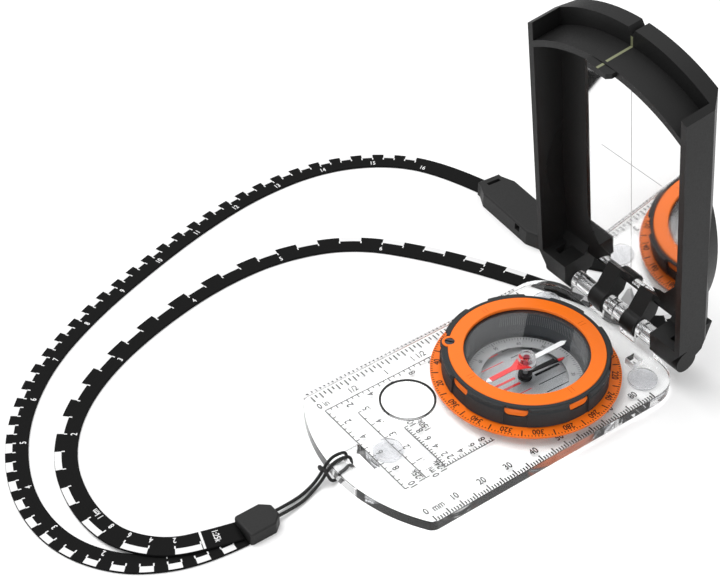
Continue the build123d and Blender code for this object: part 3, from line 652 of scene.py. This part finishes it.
class Marks:
    """Marks in one ink on one surface: drawn flat in millimetres, then laid on it by place(x, y)."""

    def __init__(self, place):
        self.place = place
        self.points, self.faces, self.flat = [], [], []

    def polygon(self, corners):
        first = len(self.points)
        self.points += [self.place(x, y) for x, y in corners]
        self.flat += corners
        self.faces.append(tuple(range(first, len(self.points))))

    def bar(self, x0, x1, y0, y1, step=None):
        """A rectangle, cut along x into lengths of at most step where the surface bends."""
        count = 1 if step is None else max(1, math.ceil((x1 - x0) / step))
        for part in range(count):
            a, b = x0 + (x1 - x0) * part / count, x0 + (x1 - x0) * (part + 1) / count
            self.polygon([(a, y0), (b, y0), (b, y1), (a, y1)])

    def line(self, start, end, width):
        (x0, y0), (x1, y1) = start, end
        length = math.hypot(x1 - x0, y1 - y0)
        dx, dy = (x1 - x0) / length * width / 2, (y1 - y0) / length * width / 2
        self.polygon([(x0 + dy, y0 - dx), (x1 + dy, y1 - dx), (x1 - dy, y1 + dx), (x0 - dy, y0 + dx)])

    def spoke(self, azimuth, inner, outer, width):
        """A line out from the centre, at an azimuth measured clockwise from +Y."""
        turn = math.radians(azimuth)
        ends = [(r * math.sin(turn), r * math.cos(turn)) for r in (inner, outer)]
        self.line(*ends, width)

    def text(self, text, x, y, height, turn=0.0, squeeze=0.82):
        corners, faces = glyphs(text)
        c, s = math.cos(math.radians(turn)) * height, math.sin(math.radians(turn)) * height
        first = len(self.points)
        for u, v in corners:
            corner = (x + c * u * squeeze - s * v, y + s * u * squeeze + c * v)
            self.flat.append(corner)
            self.points.append(self.place(*corner))
        self.faces += [tuple(first + index for index in face) for face in faces]

    def make(self, name, finish, slot, body, thickness=INK_T):
        piece = mesh_object(name, self.points, self.faces, finish, body)
        layer = piece.data.uv_layers.new(name="print")
        for loop in piece.data.loops:
            x, y = self.flat[loop.vertex_index]
            layer.data[loop.index].uv = (x * MM, y * MM)
        skin = piece.modifiers.new("ink", "SOLIDIFY")
        skin.thickness = thickness * MM
        skin.offset = 0.0
        return piece


STRAP_HALF = STRAP_W / 2
PRINT_INSET = 0.12
BLOCK_DEEP = 2.1
BLOCK_TICK = 3.1
TICK_HALF = 0.2
PRINT_STEP = 1.6
FIGURE_LINE = -1.75
STRAP_FIGURE = 2.0
INNER_ZERO = 12.0
INNER_DIVISION = 7.2
INNER_FIGURES = 36.0
INNER_NAME_AT = 7.0
INNER_NAME_H = 1.9
OUTER_ZERO = 4.0
OUTER_DIVISION = 3.82
OUTER_FIGURES = 19.1


def strap_scale(tape, zero, division, blocks, label_every, labels):
    """White blocks with end ticks along the strap's outer edge, and figures beside its inner edge."""
    marks = Marks(lambda s, t: tape.place(s, t, STRAP_T / 2 + INK_GAP))
    edge = STRAP_HALF - PRINT_INSET
    for number in range(0, blocks, 2):
        start = zero + number * division
        marks.bar(start, start + division, edge - BLOCK_DEEP, edge, PRINT_STEP)
        for s in (start, start + division):
            marks.bar(s - TICK_HALF, s + TICK_HALF, edge - BLOCK_TICK, edge - BLOCK_DEEP)
    for number, label in enumerate(labels, start=1):
        marks.text(label, zero + number * label_every, FIGURE_LINE, STRAP_FIGURE)
    return marks


def make_lanyard():
    inner = Tape(route_line("inner_route", STRAP_INNER))
    outer = Tape(route_line("outer_route", STRAP_OUTER))
    inner_piece = make_strap("lanyard_strap_inner", inner, ["strap_inner"])
    outer_piece = make_strap("lanyard_strap_outer", outer, ["strap_outer"])

    inner_labels = ["1 km", *[str(number) for number in range(2, 9)]]
    inner_scale = strap_scale(inner, INNER_ZERO, INNER_DIVISION, 45, INNER_FIGURES, inner_labels)
    for number, label in enumerate(("2", "4", "6", "8"), start=1):
        inner_scale.text(label, INNER_ZERO + number * INNER_DIVISION, FIGURE_LINE, STRAP_FIGURE)
    inner_scale.bar(INNER_ZERO - 1.0, INNER_ZERO - 0.3, 0.15 - STRAP_HALF, STRAP_HALF - PRINT_INSET)
    inner_scale.text("1:25k", INNER_NAME_AT, 0.0, INNER_NAME_H, 90)
    inner_print = inner_scale.make("strap_print_inner", "strap_ink", "white_paint", "base")

    outer_labels = [str(number) for number in range(1, 17)]
    outer_scale = strap_scale(outer, OUTER_ZERO, OUTER_DIVISION, 80, OUTER_FIGURES, outer_labels)
    outer_print = outer_scale.make("strap_print_outer", "strap_ink", "white_paint", "base")

    loop = route_curve("lanyard_loop", CORD_LOOP)
    loop.bevel_depth = CORD_D / 2 * MM
    loop.bevel_resolution = 4
    loop.use_fill_caps = True
    loop.materials.append(FINISH["cord"].material)
    loop_piece = link(bpy.data.objects.new("lanyard_loop", loop))
    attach(loop_piece, "base")
    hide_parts("lanyard_cord")


make_lanyard()


# Scales under the plate

UNDER_PLATE = -PLATE_T - INK_GAP
FINE = 0.34
MM_LINE = 1.35 * FINE
INCH_LINE = 1.3 * FINE
TEXT_H = 2.4
NAME_H = 0.95 * TEXT_H
INCH = 25.4
NARROW = 0.78
LONG_TICK = 1.3
SHORT_TICK = 0.8
RULER_FIGURES = 26.1
INCH_FIGURES = -27.2


def mm_ruler(marks):
    """Millimetres along the right edge."""
    inner_long, inner_short, outer_end = 28.5, 29.5, 31.2
    for step in range(0, 86):
        inner_end = inner_long if step % 5 == 0 else inner_short
        marks.line((inner_end, step), (outer_end, step), MM_LINE)
    for step in range(10, 90, 10):
        marks.text(str(step), RULER_FIGURES, step, TEXT_H, 90)
    marks.text("0", 25.9, -0.5, TEXT_H, 90)
    marks.text("mm", 26.2, 3.7, TEXT_H, 90)


def inch_ruler(marks):
    """Sixteenths of an inch along the left edge."""
    inner_long, inner_short, outer_end = -29.4, -30.5, -31.9
    sixteenth = INCH / 16
    for step in range(0, 53):
        inner_end = inner_long if step % 2 == 0 else inner_short
        marks.line((inner_end, step * sixteenth), (outer_end, step * sixteenth), INCH_LINE)
    marks.text("0 in", INCH_FIGURES, 1.2, TEXT_H, 90)
    for step, label in enumerate(("1/2", "1", "1 1/2", "2", "2 1/2", "3"), start=1):
        marks.text(label, INCH_FIGURES, step * INCH / 2, TEXT_H, 90)


def map_scale(marks, corner, along, division, reach, up_reach, labels, up_labels, name, name_at):
    """Two legs from a corner: one along X, signed by along, one along +Y, ticked inside."""
    x0, y0 = corner
    marks.line((x0, y0), (x0 + along * reach, y0), FINE)
    marks.line((x0, y0), (x0, y0 + up_reach), FINE)
    half = division / 2
    for step in range(1, round(reach / half) + 1):
        tick = LONG_TICK if step % 2 == 0 else SHORT_TICK
        x = x0 + along * step * half
        marks.line((x, y0), (x, y0 + tick), FINE)
    for step in range(1, int(up_reach / half) + 1):
        tick = LONG_TICK if step % 2 == 0 else SHORT_TICK
        y = y0 + step * half
        marks.line((x0, y), (x0 + along * tick, y), FINE)
    for number, label in enumerate(labels, start=1):
        marks.text(label, x0 + along * number * 2 * division - 0.3, y0 + 2.8, TEXT_H, 180)
    for number, label in enumerate(up_labels, start=1):
        marks.text(label, x0 + along * 2.4, y0 + number * 2 * division - 0.5, TEXT_H, 180)
    marks.text(name, *name_at, NAME_H, 180, NARROW)


def mile_scale(marks):
    """Tenths of a mile along X, from the right."""
    y, left, right = 7.73, -17.85, 15.65
    marks.line((left, y), (right, y), FINE)
    tenth = (right - left) / 5
    for step in range(0, 11):
        tick = LONG_TICK if step % 2 == 0 else SHORT_TICK
        x = left + step * tenth / 2
        marks.line((x, y), (x, y + tick), FINE)
    for step, label in enumerate((".5", ".4", ".3", ".2", ".1")):
        marks.text(label, left + step * tenth + 0.2, y + 2.9, TEXT_H, 180)
    marks.text("0 mi", right - 0.6, y + 2.9, TEXT_H, 180, 0.72)
    marks.text("1:24k", right - 1.6, y + 6.0, NAME_H, 180, NARROW)


def print_plate():
    marks = Marks(lambda x, y: plate_point(x, y, UNDER_PLATE))
    mm_ruler(marks)
    inch_ruler(marks)
    tens = ("2", "4", "6", "8", "10")
    map_scale(marks, (-24.46, 0.1), 1, 4.0, 40.0, 49.0, tens, tens, "1:25k", (13.3, 6.2))
    map_scale(marks, (15.57, 15.15), -1, 2.0, 20.0, 18.6, tens, tens[:4], "1:50k", (-2.0, 20.4))
    mile_scale(marks)
    marks.make("plate_print", "black_ink", "black_ink", "base")


print_plate()


# Dial and capsule marks, drawn about the bezel's axis

DIAL_TOP = 0.97
DIAL_TICK_OUT = 29.5
DIAL_TICK_IN = 28.9
DIAL_LONG_IN = 27.2
DIAL_FIGURE_R = 27.7
DIAL_FIGURE_H = 2.1
DIAL_LONG_LINE = 0.36
DIAL_SHORT_LINE = 0.26
RING_TOP = 9.11
ENGRAVED_IN = 20.4
ENGRAVED_OUT = 22.6
ENGRAVED_APART = 1.6
ENGRAVED_LINE = 0.16
CAPSULE_FLOOR = -2.79
CAPSULE_INK_GAP = 0.02
MERIDIANS = ((5.2, 1.5, 12.0), (9.2, 1.5, 12.2), (13.0, 0.8, 10.5))
MERIDIAN_LINE = 0.34
SCALE_TOP = -2.54
SCALE_OUT = 17.8
SCALE_LONG_IN = 16.2
SCALE_SHORT_IN = 16.9
SCALE_LINE = 0.2
SCALE_FIGURE_R = 15.2
SCALE_FIGURE_H = 1.3
# Where the painted reflection of the clinometer scale's ticks lies on the capsule's wall.
WALL_R = 18.62
WALL_LOW = 2.4
WALL_HIGH = 6.2
WALL_STEP = 2.0
WALL_LINE = 0.13


def round_text(marks, label, azimuth, radius, height, squeeze=0.82):
    """A text that stands on a circle about the axis, with its top outwards."""
    turn = math.radians(azimuth)
    place = radius * math.sin(turn), radius * math.cos(turn)
    marks.text(label, *place, height, -azimuth, squeeze)


def dial_turned(x, y):
    """A point turned clockwise about the axis, by as much as the dial is."""
    turn = math.radians(-INDEX_TURN)
    return math.cos(turn) * x - math.sin(turn) * y, math.sin(turn) * x + math.cos(turn) * y


def print_dial():
    """Degrees on the dial: a figure every 20, a long tick between them, and a short tick every 2."""
    marks = Marks(lambda x, y: bezel_point(x, y, DIAL_TOP))
    zero = 180 + INDEX_TURN
    for degree in range(0, 360, 2):
        azimuth = zero + degree
        if degree % 20 == 10:
            marks.spoke(azimuth, DIAL_LONG_IN, DIAL_TICK_OUT, DIAL_LONG_LINE)
        else:
            marks.spoke(azimuth, DIAL_TICK_IN, DIAL_TICK_OUT, DIAL_SHORT_LINE)
    for degree in range(20, 380, 20):
        round_text(marks, str(degree), zero + degree, DIAL_FIGURE_R, DIAL_FIGURE_H, 0.86)
    marks.make("dial_print", "black_ink", "black_ink", "bezel")


def engrave_ring():
    """Pairs of fine engraved lines on the top ring, at its four quarters, painted darker orange for the
    shade inside their grooves.
    """
    marks = Marks(lambda x, y: bezel_point(x, y, RING_TOP))
    for quarter in range(4):
        for offset in (-ENGRAVED_APART, ENGRAVED_APART):
            azimuth = INDEX_TURN + quarter * 90 + offset
            marks.spoke(azimuth, ENGRAVED_IN, ENGRAVED_OUT, ENGRAVED_LINE)
    marks.make("ring_groove_shade_marks", "groove_shade_orange", "orange_plastic", "bezel")


def print_capsule():
    """Meridian lines on the capsule's floor: black on the far side of the axis, red on the near."""
    black = Marks(lambda x, y: bezel_point(x, y, CAPSULE_FLOOR + CAPSULE_INK_GAP))
    red = Marks(lambda x, y: bezel_point(x, y, CAPSULE_FLOOR + CAPSULE_INK_GAP))
    for x, inner, reach in MERIDIANS:
        for side in (-1, 1):
            for marks, way in ((black, 1), (red, -1)):
                start = dial_turned(side * x, way * inner)
                end = dial_turned(side * x, way * reach)
                marks.line(start, end, MERIDIAN_LINE)
    black.make("meridian_lines_far", "black_ink", "black_ink", "capsule")
    red.make("meridian_lines_near", "red_ink", "red_paint", "capsule")


def print_clinometer():
    """Slope angles, 0 to 90 each way, on the grey ring."""
    marks = Marks(lambda x, y: bezel_point(x, y, SCALE_TOP))
    for degree in range(0, 360, 3):
        inner = SCALE_LONG_IN if degree % 15 == 0 else SCALE_SHORT_IN
        marks.spoke(degree + INDEX_TURN, inner, SCALE_OUT, SCALE_LINE)
    for degree in range(0, 360, 30):
        label = str(abs((degree + 90) % 180 - 90))
        round_text(marks, label, degree + INDEX_TURN, SCALE_FIGURE_R, SCALE_FIGURE_H)
    marks.make("clinometer_print", "faint_ink", "grey_scale", "capsule", THIN_INK_T)


def print_wall():
    """Painted reflection: fine upright grey lines around the far side of the capsule's wall, for the
    clinometer scale's ticks reflected in it.
    """

    def on_wall(x, height):
        turn = x / WALL_R
        return bezel_point(WALL_R * math.sin(turn), WALL_R * math.cos(turn), height)

    marks = Marks(on_wall)
    for number in range(-38, 39):
        x = number * math.radians(WALL_STEP) * WALL_R
        marks.line((x, WALL_LOW), (x, WALL_HIGH), WALL_LINE)
    marks.make("wall_tick_reflections", "reflection_grey", "grey_scale", "capsule", THIN_INK_T)


print_dial()
engrave_ring()
print_capsule()
print_clinometer()
print_wall()


# Turned and cut trim: the disc and root of the needle, and the grip's lip and pads


def lathe(name, profile, finish, body, centre, steps=64, leave_out=None):
    """A ring turned about a vertical axis, from (radius, height) points, open where leave_out says."""
    points, faces = [], []
    for step in range(steps):
        turn = 2 * math.pi * step / steps
        for radius, height in profile:
            points.append(centre + Vector((radius * math.cos(turn), radius * math.sin(turn), height)) * MM)
    count = len(profile)
    middles = [2 * math.pi * (step + 0.5) / steps for step in range(steps)]
    solid = [leave_out is None or not leave_out(turn) for turn in middles]
    for step in range(steps):
        section = range(step * count, (step + 1) * count)
        if solid[step] and not solid[step - 1]:
            faces.append(tuple(section))
        if solid[step - 1] and not solid[step]:
            faces.append(tuple(reversed(section)))
        if not solid[step]:
            continue
        for k in range(count):
            a, b = step * count + k, step * count + (k + 1) % count
            after = (a + count) % len(points), (b + count) % len(points)
            faces.append((a, after[0], after[1], b))
    return mesh_object(name, points, faces, finish, body)


DISC_IN = 1.1
DISC_OUT = 3.05
DISC_FLAT = 2.95
DISC_LOW = 3.62
DISC_HIGH = 3.76
ROOT_Z = 3.78
ROOT_T = 0.2


def needle_trim():
    """A two-coloured disc under the needle's clear cap, and the wide root of its red arm."""
    centre = bezel_point(0, 0, 0)
    disc = [
        (DISC_IN, DISC_LOW), (DISC_FLAT, DISC_LOW), (DISC_OUT, DISC_LOW + 0.04),
        (DISC_OUT, DISC_HIGH - 0.04), (DISC_FLAT, DISC_HIGH), (DISC_IN, DISC_HIGH),
    ]
    lathe("needle_disc", disc, "disc", "needle", centre)
    root = Marks(lambda x, y: bezel_point(x, y, ROOT_Z))
    root.polygon([(-2.6, -1.6), (-0.85, -5.6), (0.85, -5.6), (2.6, -1.6)])
    root.make("needle_root", "red", "red_paint", "needle", ROOT_T)


LIP_IN = 24.5
LIP_OUT = 25.5
LIP_LOW = 8.2
LIP_HIGH = 8.95
LIP_ROUND = 0.15
LUG_HALF_GAP = math.radians(7.0)
PAD_COUNT = 8
PAD_OUT = 26.35
PAD_IN = 24.7
PAD_STEP_R = 25.3
PAD_HALF = 14.5
PAD_T = 1.0


def screw_gap(turn):
    """True where the lip stops for the declination screw's lug."""
    lug = math.atan2(SCREW.y - BEZEL.y, SCREW.x - BEZEL.x)
    away = (turn - lug + math.pi) % (2 * math.pi) - math.pi
    return abs(away) < LUG_HALF_GAP


def grip_lip():
    """The grip's moulded edge, which stands out around the bezel's top ring, and its finger pads."""
    edge = [
        (LIP_IN, LIP_LOW), (LIP_OUT - 0.4, LIP_LOW), (LIP_OUT, LIP_LOW + 0.3),
        (LIP_OUT, LIP_HIGH - LIP_ROUND), (LIP_OUT - LIP_ROUND, LIP_HIGH), (LIP_IN, LIP_HIGH),
    ]
    centre = bezel_point(0, 0, 0)
    lathe("grip_lip", edge, "rubber", "bezel", centre, 180, screw_gap)
    pads = Marks(lambda x, y: bezel_point(x, y, LIP_LOW))
    pitch = 360 / PAD_COUNT
    for number in range(PAD_COUNT):
        middle = INDEX_TURN + (number + 0.5) * pitch
        outer = [(middle + turn, PAD_OUT) for turn in range(-13, 14, 2)]
        inner = [(middle + turn, PAD_IN) for turn in range(14, -15, -4)]
        rim = [(middle - PAD_HALF, PAD_STEP_R), *outer, (middle + PAD_HALF, PAD_STEP_R), *inner]
        corners = [(math.radians(azimuth), radius) for azimuth, radius in rim]
        pads.polygon([(radius * math.sin(turn), radius * math.cos(turn)) for turn, radius in corners])
    pads.make("grip_pads", "rubber", "charcoal_rubber", "bezel", PAD_T)


# Sighting cross on the mirror

CROSS_FOOT = 14.5
CROSS_TOP = 97.2
CROSS_H = 57.8
CROSS_HALF = 13.0
CROSS_LINE = 0.22


def cover_point(x, height, depth):
    """A point in the cover: across, up from the hinge axis, and back from the rim."""
    up = Vector((0, -math.sin(COVER_LEAN), math.cos(COVER_LEAN)))
    toward_user = Vector((0, -math.cos(COVER_LEAN), -math.sin(COVER_LEAN)))
    return HINGE + (Vector((x, 0, 0)) + up * height + toward_user * (RIM_DEPTH - depth)) * MM


def print_mirror():
    marks = Marks(lambda x, height: cover_point(x, height, GLASS_DEPTH - INK_GAP))
    marks.line((0, CROSS_FOOT), (0, CROSS_TOP), CROSS_LINE)
    marks.line((-CROSS_HALF, CROSS_H), (CROSS_HALF, CROSS_H), CROSS_LINE)
    marks.make("mirror_cross", "mirror_line", "black_ink", "cover", THIN_INK_T)


needle_trim()
grip_lip()
print_mirror()


# Floor and light


def make_floor():
    half = 3.0
    corners = [(-half, -half, 0), (half, -half, 0), (half, half, 0), (-half, half, 0)]
    mesh = bpy.data.meshes.new("floor")
    mesh.from_pydata(corners, [], [(0, 1, 2, 3)])
    nodes = Nodes("floor_paper")
    grain = nodes.noise(30.0)
    tone = nodes.mix(grain, (0.90, 0.90, 0.90, 1), (0.92, 0.92, 0.92, 1))
    nodes.join(tone, nodes.shader.inputs["Base Color"])
    nodes.set(Roughness=0.7, Specular_IOR_Level=0.2)
    mesh.materials.append(nodes.material)
    link(bpy.data.objects.new("floor", mesh))


HORIZON = (0.34, 0.34, 0.35, 1)
SKY = (1.0, 1.0, 1.0, 1)
SKY_STRENGTH = 0.85


def make_world():
    """Even white light from above, grey towards the horizon."""
    world = bpy.data.worlds.new("studio")
    world.use_nodes = True
    tree = world.node_tree
    place = tree.nodes.new("ShaderNodeTexCoord")
    split = tree.nodes.new("ShaderNodeSeparateXYZ")
    ramp = tree.nodes.new("ShaderNodeValToRGB")
    tree.links.new(place.outputs["Generated"], split.inputs[0])
    tree.links.new(split.outputs["Z"], ramp.inputs["Fac"])
    tree.links.new(ramp.outputs["Color"], tree.nodes["Background"].inputs["Color"])
    ramp.color_ramp.elements[0].position = 0.02
    ramp.color_ramp.elements[0].color = HORIZON
    ramp.color_ramp.elements[1].position = 0.55
    ramp.color_ramp.elements[1].color = SKY
    tree.nodes["Background"].inputs["Strength"].default_value = SKY_STRENGTH
    bpy.context.scene.world = world


def make_light(name, place, target, size, watts):
    data = bpy.data.lights.new(name, "AREA")
    data.shape = "RECTANGLE"
    data.size, data.size_y = size
    data.energy = watts
    lamp = link(bpy.data.objects.new(name, data))
    lamp.location = place
    lamp.rotation_mode = "QUATERNION"
    lamp.rotation_quaternion = (Vector(target) - Vector(place)).to_track_quat("-Z", "Y")


# Light that is trapped in the clear plate needs many bounces to find its way out.
CLEAR_BOUNCES = 32
GLOSS_BOUNCES = 8


def set_bounces():
    cycles = bpy.context.scene.cycles
    cycles.max_bounces = CLEAR_BOUNCES
    cycles.transmission_bounces = CLEAR_BOUNCES
    cycles.glossy_bounces = GLOSS_BOUNCES


make_floor()
make_world()
set_bounces()
make_light("softbox_top", place=(-0.35, -0.2, 1.1), target=(0, 0, 0), size=(0.9, 0.9), watts=9.0)
make_light("softbox_front", place=(0.9, -0.7, 0.55), target=(0, 0, 0.05), size=(0.5, 0.7), watts=2.5)
bpy.context.scene.view_settings.view_transform = "Standard"
